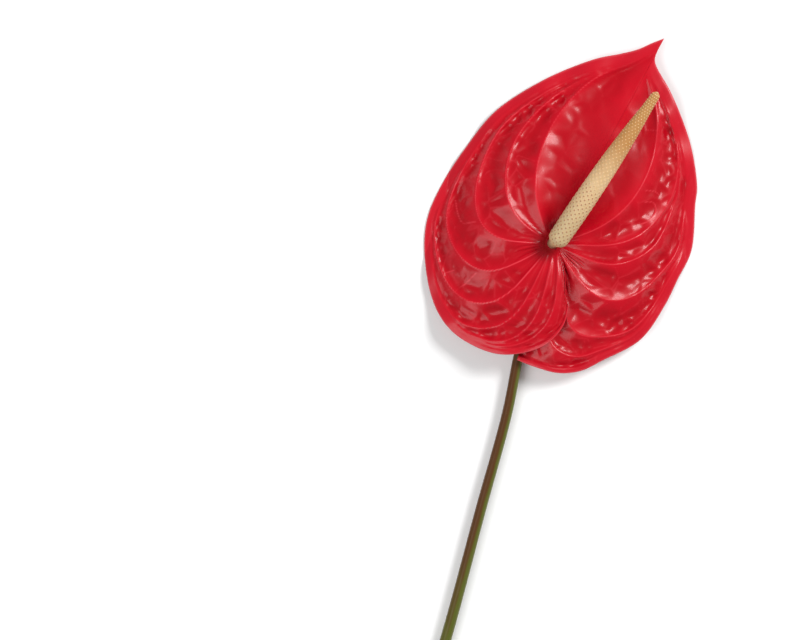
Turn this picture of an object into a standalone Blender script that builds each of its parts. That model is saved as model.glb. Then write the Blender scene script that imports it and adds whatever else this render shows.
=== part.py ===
"""A cut anthurium stem lying on its back: peduncle, spathe and spadix.

The row frame has +Z up. Seen from above, +Y runs from the cut end towards the bloom and +X is to the right.
The numbers below are millimetres, and plan positions are measured from the hub, the point where the spathe
sits on the end of the peduncle. The finished model is in metres, with its origin under the middle of its box.
"""

import math

import bmesh
import bpy
import numpy as np
from mathutils import Vector, noise

MM = 0.001

# Heights above the surface that the flower lies on
HUB_HEIGHT = 13.0
PIECE_GAP = 0.3

# Spathe
BLADE_THICKNESS = 0.9
PAD_RADIUS = 3.4
SPOKES_RIGHT = 43
SPOKES_LEFT = 53
RINGS = 30

# Right margin, from the lobe's hidden inner corner round to the drip tip
RIGHT_MARGIN = (
    (-15.8, -51.5), (-7.9, -54.6), (2.5, -57.3), (12.3, -56.4), (22.1, -51.7), (38.7, -42.7), (50.0, -27.0),
    (55.4, -16.1), (61.5, -3.5), (63.3, 17.3), (64.1, 25.2), (60.9, 44.9), (52.4, 66.5), (45.2, 80.3),
    (46.2, 84.5), (49.3, 90.4),
)  # fmt: skip

# Left margin, from the drip tip round to the lobe's inner corner, which lies over the right lobe
LEFT_MARGIN = (
    (49.3, 90.4), (44.0, 88.4), (38.0, 85.7), (30.4, 83.8), (18.5, 81.3), (-2.9, 72.7), (-25.1, 58.5),
    (-38.9, 41.6), (-48.3, 27.1), (-55.0, 12.1), (-56.6, -2.5), (-53.6, -23.0), (-47.7, -35.2),
    (-38.5, -43.3), (-22.6, -49.1), (-4.7, -45.5), (4.4, -36.5), (6.8, -28.0),
)  # fmt: skip

# Height of the margin and rise of the crown between hub and margin, by the angle from the midrib in degrees
RIGHT_HEIGHTS = (
    (0, 6.0, 0.0), (14, 3.5, 4.5), (32, 0.0, 7.2), (50, -2.2, 8.2), (68, 0.0, 8.0), (95, 4.5, 6.5),
    (130, 8.0, 3.5), (170, 11.0, 0.8),
)  # fmt: skip
LEFT_HEIGHTS = (
    (0, 6.0, 0.0), (16, 4.5, 4.0), (45, 3.0, 7.5), (82, 0.2, 8.5), (102, -2.2, 8.8), (122, 0.2, 8.5),
    (142, 3.8, 7.0), (165, 9.5, 5.0), (195, 14.0, 3.0), (222, 15.5, 1.8),
)  # fmt: skip

# Veins in order from the midrib to the margin: angle at which each leaves the hub, in degrees from the
# midrib, then reach and curl of its arc, and the share of the blade's radius where it joins the rim vein
RIGHT_VEINS = (
    (0, 1.05, 0.75, 0.95), (48, 1.01, 0.52, 0.95), (66, 1.12, 0.32, 0.95), (88, 1.05, 0.30, 0.95),
    (118, 1.16, 0.27, 0.95), (146, 1.20, 0.19, 0.955), (162, 1.25, 0.16, 0.955), (182, 1.30, 0.04, 1.0),
)  # fmt: skip
LEFT_VEINS = (
    (0, 1.10, 0.75, 0.95), (58, 1.10, 0.65, 0.95), (90, 1.04, 0.43, 0.95), (118, 1.08, 0.30, 0.95),
    (148, 1.20, 0.26, 0.95), (169, 1.25, 0.21, 0.955), (184, 1.42, 0.20, 0.955), (197, 1.40, 0.17, 0.955),
    (209, 1.35, 0.15, 0.96), (236, 1.30, 0.04, 1.0),
)  # fmt: skip
VEIN_NUMBER_STEPS = 20
RIM_BEND = 14

# The blade sags between the veins, and blisters break up each sag
PLEAT_SLOPE = 0.21
PLEAT_LIMIT = 1.9
PLEAT_LEAN = 1.25
PLEAT_POWER = 0.95
PLEATS_FULL_AT = 9.0
BLISTER_DEPTH = 1.15
BLISTER_SLOPE = 0.65
BLISTER_SIZES = (9.5, 6.5)
BLISTER_POWER = 0.6
BLISTERS_START_AT = 12.0
BLISTERS_FULL_AT = 30.0
BLISTERS_NEXT_TO_MIDRIB = 0.4
FULL_PANEL_WIDTH = 6.0
RELIEF_ENDS = (0.935, 0.97)
SWELL_HEIGHT = 0.7
SWELL_LENGTH = 11.0
SWELL_STARTS = (8.0, 20.0)
SWELL_ENDS = (0.9, 1.0)
CROWN_LEAN = 0.9
RIM_WAVE = 0.7
RIM_WAVE_LENGTH = 26.0
LAP_LIFT = 0.9
LAP_STARTS = (50.0, 5.0)
RIGHT_EDGE_BOW = 5.0
LEFT_EDGE_BOW = 2.4
BOW_ANGLE = 40.0
BOW_TO_ONE = 6.75
SAME_POINT = 1e-6

# Spadix
SPADIX_LENGTH = 81.5
SPADIX_AZIMUTH = 34.0
SPADIX_RISE = 9.0
SPADIX_FOOT = (0.2, -1.2, 7.4)
SPADIX_FOOT_ROUNDING = 4.0
SPADIX_TIP_ROUNDING = 2.2
SPADIX_RADII = (
    (0.0, 4.1), (0.06, 4.55), (0.25, 4.8), (0.45, 4.55), (0.62, 4.0), (0.78, 3.1), (0.90, 2.2), (1.0, 1.7),
)  # fmt: skip
SPADIX_COLUMNS = 26
SPADIX_ROWS = 64
FLORET_HEIGHT = 0.3
STIPE_RADIUS = 2.5
STIPE_DEPTH = 4.0
STIPE_SIDES = 16

# Peduncle: centreline from the cut end to the neck, in the plan and up from the surface
PEDUNCLE_ROUTE = (
    (-78.0, -276.0, 2.75), (-62.5, -226.0, 3.3), (-46.0, -171.0, 4.0), (-31.5, -117.0, 4.4),
    (-20.0, -75.0, 4.4), (-15.0, -50.0, 4.5), (-10.0, -30.0, 4.7), (-5.2, -13.0, 5.6), (-1.6, -4.2, 8.0),
    (0.0, 0.0, 12.25),
)  # fmt: skip
PEDUNCLE_FOOT_RADIUS = 2.7
PEDUNCLE_NECK_RADIUS = 2.1
PEDUNCLE_TOP_RADIUS = 3.1
PEDUNCLE_SWELL_LENGTH = 9.0
PEDUNCLE_BEND_LENGTH = 7.0
PEDUNCLE_STEPS = 6
PEDUNCLE_SIDES = 12


def clear_scene():
    """Removes every object of the startup scene."""
    for obj in list(bpy.data.objects):
        bpy.data.objects.remove(obj)


def material(name, colour, roughness):
    """A plain plant surface in one colour."""
    made = bpy.data.materials.new(name)
    made.use_nodes = True
    shader = made.node_tree.nodes["Principled BSDF"]
    shader.inputs["Base Color"].default_value = (*colour, 1.0)
    shader.inputs["Roughness"].default_value = roughness
    shader.inputs["Metallic"].default_value = 0.0
    return made


def add_object(name, mesh, surface):
    """Puts a mesh in the scene as one named node."""
    obj = bpy.data.objects.new(name, mesh)
    bpy.context.scene.collection.objects.link(obj)
    mesh.materials.append(surface)
    mesh.shade_smooth()
    return obj


def smoothstep(low, high, value):
    """Rises smoothly from 0 at low to 1 at high."""
    share = np.clip((value - low) / (high - low), 0.0, 1.0)
    return share * share * (3.0 - 2.0 * share)


def smooth_curve(points, per_span=24):
    """Points along a curve that passes smoothly through the given ones, of any dimension."""
    knots = np.array(points, float)
    before = 2 * knots[0] - knots[1]
    after = 2 * knots[-1] - knots[-2]
    knots = np.vstack([before, knots, after])
    steps = np.maximum(np.linalg.norm(np.diff(knots, axis=0), axis=1), 1e-9) ** 0.5
    drawn = []
    for i in range(1, len(knots) - 2):
        p0, p1, p2, p3 = knots[i - 1 : i + 3]
        d0, d1, d2 = steps[i - 1 : i + 2]
        start = (p1 - p0) / d0 - (p2 - p0) / (d0 + d1) + (p2 - p1) / d1
        end = (p2 - p1) / d1 - (p3 - p1) / (d1 + d2) + (p3 - p2) / d2
        t = np.linspace(0.0, 1.0, per_span, endpoint=False)[:, None]
        drawn.append(
            (2 * t**3 - 3 * t**2 + 1) * p1
            + (t**3 - 2 * t**2 + t) * start * d1
            + (-2 * t**3 + 3 * t**2) * p2
            + (t**3 - t**2) * end * d1
        )
    return np.vstack([*drawn, knots[-2:-1]])


def evenly(points, count):
    """The same line as count + 1 points, equally far apart along it."""
    length = np.concatenate([[0.0], np.cumsum(np.linalg.norm(np.diff(points, axis=0), axis=1))])
    stations = np.linspace(0.0, length[-1], count + 1)
    return np.stack([np.interp(stations, length, points[:, i]) for i in range(points.shape[1])], axis=1)


def by_angle(table, angle):
    """Columns of a table whose first column is an angle, read smoothly at each of the given angles."""
    curve = smooth_curve(table)
    return [np.interp(angle, curve[:, 0], curve[:, i]) for i in range(1, curve.shape[1])]


class HalfBlade:
    """One half of the spathe, as spokes from the hub to the margin. Arrays run over spokes, then rings."""

    def __init__(self, margin, count, heights, veins, lap, edge_bow):
        """margin runs from the drip tip to the lobe's inner corner. lap is +1 for the lobe on top."""
        self.margin = evenly(smooth_curve(margin), count)
        self.lap = lap
        self.edge_bow = edge_bow
        self.angle = self.angle_from_midrib()
        self.reach = np.linalg.norm(self.margin, axis=1)
        self.share = np.linspace(0.0, 1.0, RINGS + 1)
        self.margin_height, self.crown = by_angle(heights, self.angle)
        self.plan = self.plan_points()
        self.distance = np.hypot(self.plan[..., 0], self.plan[..., 1])
        self.vein_number = self.vein_numbers(np.array(veins, float))

    def angle_from_midrib(self):
        """Angle of each spoke from the midrib, growing steadily round to the sinus, in degrees."""
        turn = np.unwrap(np.arctan2(self.margin[:, 1], self.margin[:, 0]))
        return np.degrees(np.abs(turn - turn[0]))

    def plan_points(self):
        """Plan position of every grid point. Only the spokes next to the sinus are bowed."""
        out = self.margin[:, None, :] * self.share[None, :, None]
        nearness = smoothstep(self.angle[-1] - BOW_ANGLE, self.angle[-1], self.angle)[:, None]
        bow = BOW_TO_ONE * self.share * (1.0 - self.share) ** 2
        out[..., 0] += self.edge_bow * nearness * bow
        return out

    def vein_numbers(self, veins):
        """Which vein each point lies on, as a number that grows from 0 at the midrib."""
        last = len(veins) - 1
        numbers = np.linspace(0.0, last, VEIN_NUMBER_STEPS * last + 1)
        leave, reach, curl, rim = (np.interp(numbers, np.arange(len(veins)), veins[:, i]) for i in range(4))
        share = np.clip((leave - self.angle[:, None]) / np.maximum(leave, 1e-6), 0.0, 1.0)
        free = reach * share**curl
        crossing = free * rim / (free**RIM_BEND + rim**RIM_BEND) ** (1.0 / RIM_BEND)
        crossing = np.maximum.accumulate(crossing, axis=1) + 1e-6 * np.arange(len(numbers))
        crossing[:, -1] = np.maximum(crossing[:, -1], 1.0)
        return np.array([np.interp(self.share, row, numbers) for row in crossing])

    def panel_width(self):
        """Distance across the panel between two veins at each point."""
        spoke_step = np.gradient(self.plan, axis=0)
        ring_step = np.gradient(self.plan, axis=1)
        by_spoke, by_ring = np.gradient(self.vein_number)
        area = spoke_step[..., 0] * ring_step[..., 1] - spoke_step[..., 1] * ring_step[..., 0]
        area = np.where(np.abs(area) < 1e-6, 1e-6, area)
        along_x = (by_spoke * ring_step[..., 1] - by_ring * spoke_step[..., 1]) / area
        along_y = (by_ring * spoke_step[..., 0] - by_spoke * ring_step[..., 0]) / area
        return 1.0 / np.maximum(np.hypot(along_x, along_y), 0.02)

    def over_plan(self, read):
        """Reads a function of the plan position at every grid point."""
        values = [read(Vector((x, y, 0.0))) for x, y in self.plan.reshape(-1, 2)]
        return np.array(values).reshape(self.distance.shape)

    def blister_border(self, size):
        """How far each point is from the border of its blister, as a share of the blister's size."""

        def read(place):
            near = noise.voronoi(place / size)[0]
            return near[1] - near[0]

        return self.over_plan(read)

    def relief(self):
        """How far the blade sags between its raised veins, and between the small ridges of its blisters."""
        across = self.vein_number % 1.0
        width = self.panel_width()
        pleat = np.minimum(PLEAT_SLOPE * width, PLEAT_LIMIT)
        pleat *= np.sin(np.pi * across**PLEAT_LEAN) ** PLEAT_POWER
        coarse, fine = (self.blister_border(size) for size in BLISTER_SIZES)
        near_rim = smoothstep(0.6, 0.82, self.share)[None, :]
        border = coarse * (1.0 - near_rim) + fine * near_rim
        depth = BLISTER_DEPTH * np.minimum(width / FULL_PANEL_WIDTH, 1.0)
        depth *= np.sin(np.pi * across) ** BLISTER_POWER
        depth *= smoothstep(BLISTERS_START_AT, BLISTERS_FULL_AT, self.distance)
        past_first_vein = smoothstep(0.85, 1.15, self.vein_number)
        depth *= BLISTERS_NEXT_TO_MIDRIB + (1.0 - BLISTERS_NEXT_TO_MIDRIB) * past_first_vein
        sag = pleat + depth * smoothstep(0.0, BLISTER_SLOPE, border)
        return -sag * smoothstep(PAD_RADIUS, PLEATS_FULL_AT, self.distance)

    def swell(self):
        """Slow uneven waves all over the blade."""
        return SWELL_HEIGHT * self.over_plan(lambda place: noise.noise(place / SWELL_LENGTH))

    def heights(self):
        """Height of the blade's middle surface at every grid point."""
        out = np.clip((self.distance - PAD_RADIUS) / (self.reach[:, None] - PAD_RADIUS), 0.0, 1.0)
        height = HUB_HEIGHT + (self.margin_height[:, None] - HUB_HEIGHT) * out
        height += self.crown[:, None] * np.sin(np.pi * out**CROWN_LEAN)
        within = smoothstep(*SWELL_STARTS, self.distance) * (1.0 - smoothstep(*SWELL_ENDS, out))
        height += self.swell() * within
        height += self.relief() * (1.0 - smoothstep(*RELIEF_ENDS, out))
        edge = np.concatenate([[0.0], np.cumsum(np.linalg.norm(np.diff(self.margin, axis=0), axis=1))])
        wave = np.sin(2.0 * np.pi * edge / RIM_WAVE_LENGTH)[:, None]
        height += RIM_WAVE * wave * smoothstep(0.7, 1.0, out) * smoothstep(0.0, 20.0, edge)[:, None]
        lap_from, lap_to = self.angle[-1] - LAP_STARTS[0], self.angle[-1] - LAP_STARTS[1]
        near_sinus = smoothstep(lap_from, lap_to, self.angle)[:, None]
        height += self.lap * LAP_LIFT * near_sinus * smoothstep(PAD_RADIUS, PLEATS_FULL_AT, self.distance)
        return height


def spathe_points():
    """Positions of the spathe's middle surface, from the right lobe's inner edge round to the left lobe's."""
    right = HalfBlade(RIGHT_MARGIN[::-1], SPOKES_RIGHT, RIGHT_HEIGHTS, RIGHT_VEINS, -1, RIGHT_EDGE_BOW)
    left = HalfBlade(LEFT_MARGIN, SPOKES_LEFT, LEFT_HEIGHTS, LEFT_VEINS, 1, LEFT_EDGE_BOW)
    plan = np.concatenate([right.plan[::-1], left.plan[1:]])
    height = np.concatenate([right.heights()[::-1], left.heights()[1:]])
    height = np.maximum(height, BLADE_THICKNESS / 2)
    return np.concatenate([plan, height[..., None]], axis=2)


def build_spathe():
    """The heart-shaped bract: one thin waxy blade, with its lobes lapped over the peduncle."""
    points = spathe_points()
    spokes, rings = points.shape[0], points.shape[1]
    sheet = bmesh.new()
    bmesh.ops.create_grid(sheet, x_segments=spokes - 1, y_segments=rings - 1, size=1.0)
    for vertex in sheet.verts:
        spoke = round((vertex.co.x + 1.0) / 2.0 * (spokes - 1))
        ring = round((vertex.co.y + 1.0) / 2.0 * (rings - 1))
        vertex.co = Vector(points[spoke, ring]) * MM
    bmesh.ops.remove_doubles(sheet, verts=sheet.verts, dist=SAME_POINT)
    bmesh.ops.triangulate(sheet, faces=sheet.faces, quad_method="FIXED")
    lower = bmesh.ops.extrude_face_region(sheet, geom=sheet.faces[:], use_keep_orig=True)
    moved = [part for part in lower["geom"] if isinstance(part, bmesh.types.BMVert)]
    half = Vector((0.0, 0.0, BLADE_THICKNESS / 2 * MM))
    below = set(moved)
    for vertex in sheet.verts:
        vertex.co += -half if vertex in below else half
    bmesh.ops.recalc_face_normals(sheet, faces=sheet.faces)
    mesh = bpy.data.meshes.new("spathe")
    sheet.to_mesh(mesh)
    sheet.free()
    return add_object("spathe", mesh, material("waxy red", (0.62, 0.01, 0.02), 0.25))


def spadix_axis():
    """Direction of the spadix, as a unit vector."""
    azimuth, rise = math.radians(SPADIX_AZIMUTH), math.radians(SPADIX_RISE)
    return Vector((math.sin(azimuth) * math.cos(rise), math.cos(azimuth) * math.cos(rise), math.sin(rise)))


def build_spadix():
    """The flower spike: a tapering finger set with florets in crossed spirals, on a short stipe."""
    spike = bmesh.new()
    bmesh.ops.create_uvsphere(spike, u_segments=SPADIX_COLUMNS, v_segments=SPADIX_ROWS, radius=1.0)
    profile = smooth_curve(SPADIX_RADII)
    for vertex in spike.verts:
        tilt = math.acos(max(-1.0, min(1.0, -vertex.co.z)))
        row = round(tilt / math.pi * SPADIX_ROWS)
        column = round(math.atan2(vertex.co.y, vertex.co.x) / (2 * math.pi) * SPADIX_COLUMNS)
        along = row / SPADIX_ROWS
        radius = float(np.interp(along, profile[:, 0], profile[:, 1]))
        from_foot = along * SPADIX_LENGTH / SPADIX_FOOT_ROUNDING
        from_tip = (1.0 - along) * SPADIX_LENGTH / SPADIX_TIP_ROUNDING
        cap = min(1.0, from_foot, from_tip)
        radius *= math.sqrt(1.0 - (1.0 - cap) ** 2)
        if (row + column) % 2 == 0 and 0 < row < SPADIX_ROWS:
            radius += FLORET_HEIGHT * cap
        around = column / SPADIX_COLUMNS * 2 * math.pi
        vertex.co = Vector((radius * math.cos(around), radius * math.sin(around), along * SPADIX_LENGTH)) * MM
    axis = spadix_axis()
    turn = axis.to_track_quat("Z", "Y").to_matrix()
    foot = (Vector(SPADIX_FOOT) + Vector((0.0, 0.0, HUB_HEIGHT))) * MM
    for vertex in spike.verts:
        vertex.co = turn @ vertex.co + foot
    bmesh.ops.recalc_face_normals(spike, faces=spike.faces)
    mesh = bpy.data.meshes.new("spadix")
    spike.to_mesh(mesh)
    spike.free()
    spadix = add_object("spadix", mesh, material("cream spike", (0.62, 0.45, 0.22), 0.5))
    join_stipe(spadix, foot + axis * STIPE_DEPTH * MM)
    return spadix


def join_stipe(spadix, head):
    """Fuses the short stalk between the spathe and the spike into the spike."""
    base = HUB_HEIGHT * MM + (BLADE_THICKNESS / 2 + PIECE_GAP) * MM
    foot = Vector((0.0, 0.0, base))
    lean = head - foot
    stalk = bmesh.new()
    radius = STIPE_RADIUS * MM
    bmesh.ops.create_cone(
        stalk, cap_ends=True, segments=STIPE_SIDES, radius1=radius, radius2=radius, depth=lean.z
    )
    for vertex in stalk.verts:
        share = vertex.co.z / lean.z + 0.5
        vertex.co += Vector((lean.x * share, lean.y * share, base + lean.z / 2))
    mesh = bpy.data.meshes.new("stipe")
    stalk.to_mesh(mesh)
    stalk.free()
    stipe = bpy.data.objects.new("stipe", mesh)
    bpy.context.scene.collection.objects.link(stipe)
    stipe.hide_render = True
    stipe.display_type = "WIRE"
    union = spadix.modifiers.new("stipe", "BOOLEAN")
    union.operation = "UNION"
    union.solver = "EXACT"
    union.object = stipe


def build_peduncle():
    """The leafless flower stalk, swelling a little where the spathe sits on it."""
    route = smooth_curve(PEDUNCLE_ROUTE, PEDUNCLE_STEPS)
    last = len(route) - 1
    length = np.concatenate([[0.0], np.cumsum(np.linalg.norm(np.diff(route, axis=0), axis=1))])
    stalk = bmesh.new()
    bmesh.ops.create_grid(stalk, x_segments=PEDUNCLE_SIDES, y_segments=last, size=1.0)
    for vertex in stalk.verts:
        turn = (vertex.co.x + 1.0) * math.pi
        station = round((vertex.co.y + 1.0) / 2.0 * last)
        from_neck = length[-1] - length[station]
        radius = PEDUNCLE_NECK_RADIUS + (PEDUNCLE_FOOT_RADIUS - PEDUNCLE_NECK_RADIUS) * from_neck / length[-1]
        swell = 1.0 - float(smoothstep(0.0, PEDUNCLE_SWELL_LENGTH, from_neck))
        radius += (PEDUNCLE_TOP_RADIUS - radius) * swell
        along = Vector(route[min(station + 1, last)] - route[max(station - 1, 0)]).normalized()
        upright = 1.0 - float(smoothstep(0.0, PEDUNCLE_BEND_LENGTH, from_neck))
        along = along.lerp(Vector((0.0, 0.0, 1.0)), upright)
        side = along.cross(Vector((1.0, -0.3, 0.0))).normalized()
        up = side.cross(along)
        spoke = side * math.cos(turn) + up * math.sin(turn)
        vertex.co = (Vector(route[station]) + spoke * float(radius)) * MM
    bmesh.ops.remove_doubles(stalk, verts=stalk.verts, dist=SAME_POINT)
    bmesh.ops.holes_fill(stalk, edges=stalk.edges, sides=0)
    bmesh.ops.recalc_face_normals(stalk, faces=stalk.faces)
    mesh = bpy.data.meshes.new("peduncle")
    stalk.to_mesh(mesh)
    stalk.free()
    return add_object("peduncle", mesh, material("stalk green", (0.13, 0.13, 0.03), 0.4))


def centre_over_origin(objects):
    """Moves the flower so that the origin lies on the surface under the middle of its box."""
    bpy.context.view_layer.update()
    graph = bpy.context.evaluated_depsgraph_get()
    solids = [obj.evaluated_get(graph) for obj in objects]
    corners = [solid.matrix_world @ Vector(corner) for solid in solids for corner in solid.bound_box]
    low = Vector(min(c[i] for c in corners) for i in range(3))
    high = Vector(max(c[i] for c in corners) for i in range(3))
    shift = Vector((-(low.x + high.x) / 2, -(low.y + high.y) / 2, -low.z))
    for obj in bpy.data.objects:
        obj.location += shift


def main():
    clear_scene()
    centre_over_origin([build_peduncle(), build_spathe(), build_spadix()])


main()
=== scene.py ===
"""The looks of a cut anthurium stem that lies on its back, seen from straight above.

Plan positions are in millimetres from the hub, the point where the spathe sits on the peduncle: x to the
right, y from the cut end towards the drip tip, and heights up from the surface that the flower lies on.
"""

import logging
import math
from collections.abc import Callable
from dataclasses import dataclass, field
from enum import Enum

import bmesh
import bpy
import numpy as np
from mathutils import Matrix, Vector, noise


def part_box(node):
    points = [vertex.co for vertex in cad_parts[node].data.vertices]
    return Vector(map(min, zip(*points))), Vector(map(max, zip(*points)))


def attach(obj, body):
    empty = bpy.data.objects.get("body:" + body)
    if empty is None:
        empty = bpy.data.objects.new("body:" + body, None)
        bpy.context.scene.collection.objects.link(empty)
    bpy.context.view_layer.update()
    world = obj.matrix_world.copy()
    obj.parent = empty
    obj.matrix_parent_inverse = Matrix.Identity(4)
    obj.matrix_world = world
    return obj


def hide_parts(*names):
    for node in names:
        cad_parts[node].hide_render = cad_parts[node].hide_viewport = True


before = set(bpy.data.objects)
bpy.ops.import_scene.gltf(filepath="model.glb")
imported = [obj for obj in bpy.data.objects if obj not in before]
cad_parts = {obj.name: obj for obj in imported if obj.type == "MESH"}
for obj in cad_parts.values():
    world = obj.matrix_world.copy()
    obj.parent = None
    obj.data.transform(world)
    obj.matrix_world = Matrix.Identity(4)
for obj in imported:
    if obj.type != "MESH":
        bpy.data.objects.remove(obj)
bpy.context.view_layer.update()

log = logging.getLogger("anthurium")

MM = 0.001
BODY = "root"
SAME_POINT = 1e-6
SHORTEST_STEP = 1e-9
TINY = 1e-6

Curve = np.ndarray
Grid = np.ndarray
Table = tuple[tuple[float, ...], ...]
Colour = tuple[float, float, float]
# Two values of an attribute between which something fades
Span = tuple[float, float]
# The same two values, and how much of it there is at each
Fade = tuple[float, float, float, float]


class Half(Enum):
    """The halves of the spathe. The value is 1 where the lobe lies underneath, and -1 where it is on top."""

    RIGHT = 1
    LEFT = -1


def smoothstep(low: float, high: float, value: Grid) -> Grid:
    """Rises smoothly from 0 at low to 1 at high.

    Args:
        low: The value where the step starts.
        high: The value where the step ends.
        value: Where to read the step.

    Returns:
        The step, in the shape of value.
    """
    share = np.clip((value - low) / (high - low), 0.0, 1.0)
    return share * share * (3.0 - 2.0 * share)


def smooth_curve(points: Table | Curve, per_span: int = 24) -> Curve:
    """Draws a curve that passes smoothly through the given points, of any dimension.

    Args:
        points: The points to pass through.
        per_span: How many points to draw between two given ones.

    Returns:
        The drawn points, one a row.
    """
    knots = np.array(points, float)
    before = 2 * knots[0] - knots[1]
    after = 2 * knots[-1] - knots[-2]
    knots = np.vstack([before, knots, after])
    steps = np.maximum(np.linalg.norm(np.diff(knots, axis=0), axis=1), SHORTEST_STEP) ** 0.5
    drawn = []
    for i in range(1, len(knots) - 2):
        p0, p1, p2, p3 = knots[i - 1 : i + 3]
        d0, d1, d2 = steps[i - 1 : i + 2]
        start = (p1 - p0) / d0 - (p2 - p0) / (d0 + d1) + (p2 - p1) / d1
        end = (p2 - p1) / d1 - (p3 - p1) / (d1 + d2) + (p3 - p2) / d2
        t = np.linspace(0.0, 1.0, per_span, endpoint=False)[:, None]
        drawn.append(
            (2 * t**3 - 3 * t**2 + 1) * p1
            + (t**3 - 2 * t**2 + t) * start * d1
            + (-2 * t**3 + 3 * t**2) * p2
            + (t**3 - t**2) * end * d1
        )
    return np.vstack([*drawn, knots[-2:-1]])


def along_line(points: Curve) -> Curve:
    """Length of a line up to each of its points, from 0 at the first."""
    return np.concatenate([[0.0], np.cumsum(np.linalg.norm(np.diff(points, axis=0), axis=1))])


def evenly(points: Curve, count: int) -> Curve:
    """Reads a line at equal steps along its length.

    Args:
        points: The line.
        count: How many steps to take.

    Returns:
        count + 1 points.
    """
    length = along_line(points)
    stations = np.linspace(0.0, length[-1], count + 1)
    return np.stack([np.interp(stations, length, points[:, i]) for i in range(points.shape[1])], axis=1)


def by_angle(table: Table, angle: Grid) -> list[Grid]:
    """Reads a table whose first column is an angle smoothly at each of the given angles.

    Args:
        table: Rows of an angle and the values there.
        angle: The angles to read at.

    Returns:
        One array for each column after the first.
    """
    curve = smooth_curve(table)
    return [np.interp(angle, curve[:, 0], curve[:, i]) for i in range(1, curve.shape[1])]


class Nodes:
    """Short ways to write a material's node tree."""

    def __init__(self, name: str) -> None:
        """Starts a material with an empty Principled surface.

        Args:
            name: The material's name.
        """
        self.material = bpy.data.materials.new(name)
        self.material.use_nodes = True
        self.tree = self.material.node_tree
        self.shader = self.tree.nodes["Principled BSDF"]

    def node(self, kind: str, **settings: object) -> bpy.types.Node:
        """Adds a node.

        Args:
            kind: The node's type.
            settings: Its properties by name.

        Returns:
            The node.
        """
        made = self.tree.nodes.new(kind)
        for name, value in settings.items():
            setattr(made, name, value)
        return made

    def put(self, value: object, socket: bpy.types.NodeSocket) -> None:
        """Links an output to a socket, or sets the socket to a plain value.

        Args:
            value: An output, or the plain value.
            socket: The input that takes it.
        """
        if isinstance(value, bpy.types.NodeSocket):
            self.tree.links.new(value, socket)
        else:
            socket.default_value = value

    def attribute(self, name: str) -> bpy.types.NodeSocket:
        """The value that the mesh holds under this name."""
        return self.node("ShaderNodeAttribute", attribute_name=name).outputs["Fac"]

    def place(self) -> bpy.types.NodeSocket:
        """Object coordinates."""
        return self.node("ShaderNodeTexCoord").outputs["Object"]

    def math(self, operation: str, *values: object) -> bpy.types.NodeSocket:
        """Works out one sum.

        Args:
            operation: The Math node's operation.
            values: Its inputs in order.

        Returns:
            The result.
        """
        made = self.node("ShaderNodeMath", operation=operation)
        for socket, value in zip(made.inputs, values, strict=False):
            self.put(value, socket)
        return made.outputs[0]

    def ramp(
        self, value: object, low: float, high: float, start: float = 0.0, end: float = 1.0
    ) -> bpy.types.NodeSocket:
        """Maps low..high of a value smoothly to start..end.

        Args:
            value: What is mapped.
            low: The value that becomes start.
            high: The value that becomes end.
            start: The result up to low.
            end: The result from high on.

        Returns:
            The mapped value.
        """
        made = self.node("ShaderNodeMapRange", interpolation_type="SMOOTHSTEP")
        for socket, given in zip(made.inputs, (value, low, high, start, end), strict=False):
            self.put(given, socket)
        return made.outputs["Result"]

    def noise(
        self, scale: float, detail: float = 2.0, stretch: tuple[float, float, float] = (1, 1, 1)
    ) -> bpy.types.NodeSocket:
        """Cloudy noise on the object's own coordinates.

        Args:
            scale: How many clouds to a metre.
            detail: How many finer layers it has.
            stretch: Its frequency along each axis.

        Returns:
            The noise, from 0 to 1.
        """
        turned = self.node("ShaderNodeMapping")
        self.put(self.place(), turned.inputs["Vector"])
        turned.inputs["Scale"].default_value = stretch
        made = self.node("ShaderNodeTexNoise")
        self.put(turned.outputs[0], made.inputs["Vector"])
        made.inputs["Scale"].default_value = scale
        made.inputs["Detail"].default_value = detail
        return made.outputs["Fac"]

    def mix(self, share: object, first: object, second: object) -> bpy.types.NodeSocket:
        """Mixes two colours.

        Args:
            share: How much of the second there is.
            first: A colour or an output.
            second: A colour or an output.

        Returns:
            The mixed colour.
        """
        made = self.node("ShaderNodeMix", data_type="RGBA")
        self.put(share, made.inputs["Factor"])
        for name, given in (("A", first), ("B", second)):
            socket = next(s for s in made.inputs if s.name == name and s.type == "RGBA")
            self.put((*given, 1.0) if isinstance(given, tuple) else given, socket)
        return next(s for s in made.outputs if s.type == "RGBA")

    def bump(self, height: object, distance: float, strength: float) -> None:
        """Roughens the surface finely, on top of what the mesh holds.

        Args:
            height: The height, from 0 to 1.
            distance: How high 1 is, in metres.
            strength: How strongly it shows.
        """
        made = self.node("ShaderNodeBump")
        made.inputs["Distance"].default_value = distance
        made.inputs["Strength"].default_value = strength
        self.put(height, made.inputs["Height"])
        self.put(made.outputs["Normal"], self.shader.inputs["Normal"])

    def finish(self, colour: object, roughness: object, **uniform: object) -> bpy.types.Material:
        """Sets the surface's own sockets.

        Args:
            colour: The base colour, as a colour or an output.
            roughness: The roughness, as a number or an output.
            uniform: Other sockets by name, with _ for a space, that are the same all over.

        Returns:
            The finished material.
        """
        self.put(colour, self.shader.inputs["Base Color"])
        self.put(roughness, self.shader.inputs["Roughness"])
        for name, value in uniform.items():
            self.shader.inputs[name.replace("_", " ")].default_value = value
        return self.material


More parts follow.
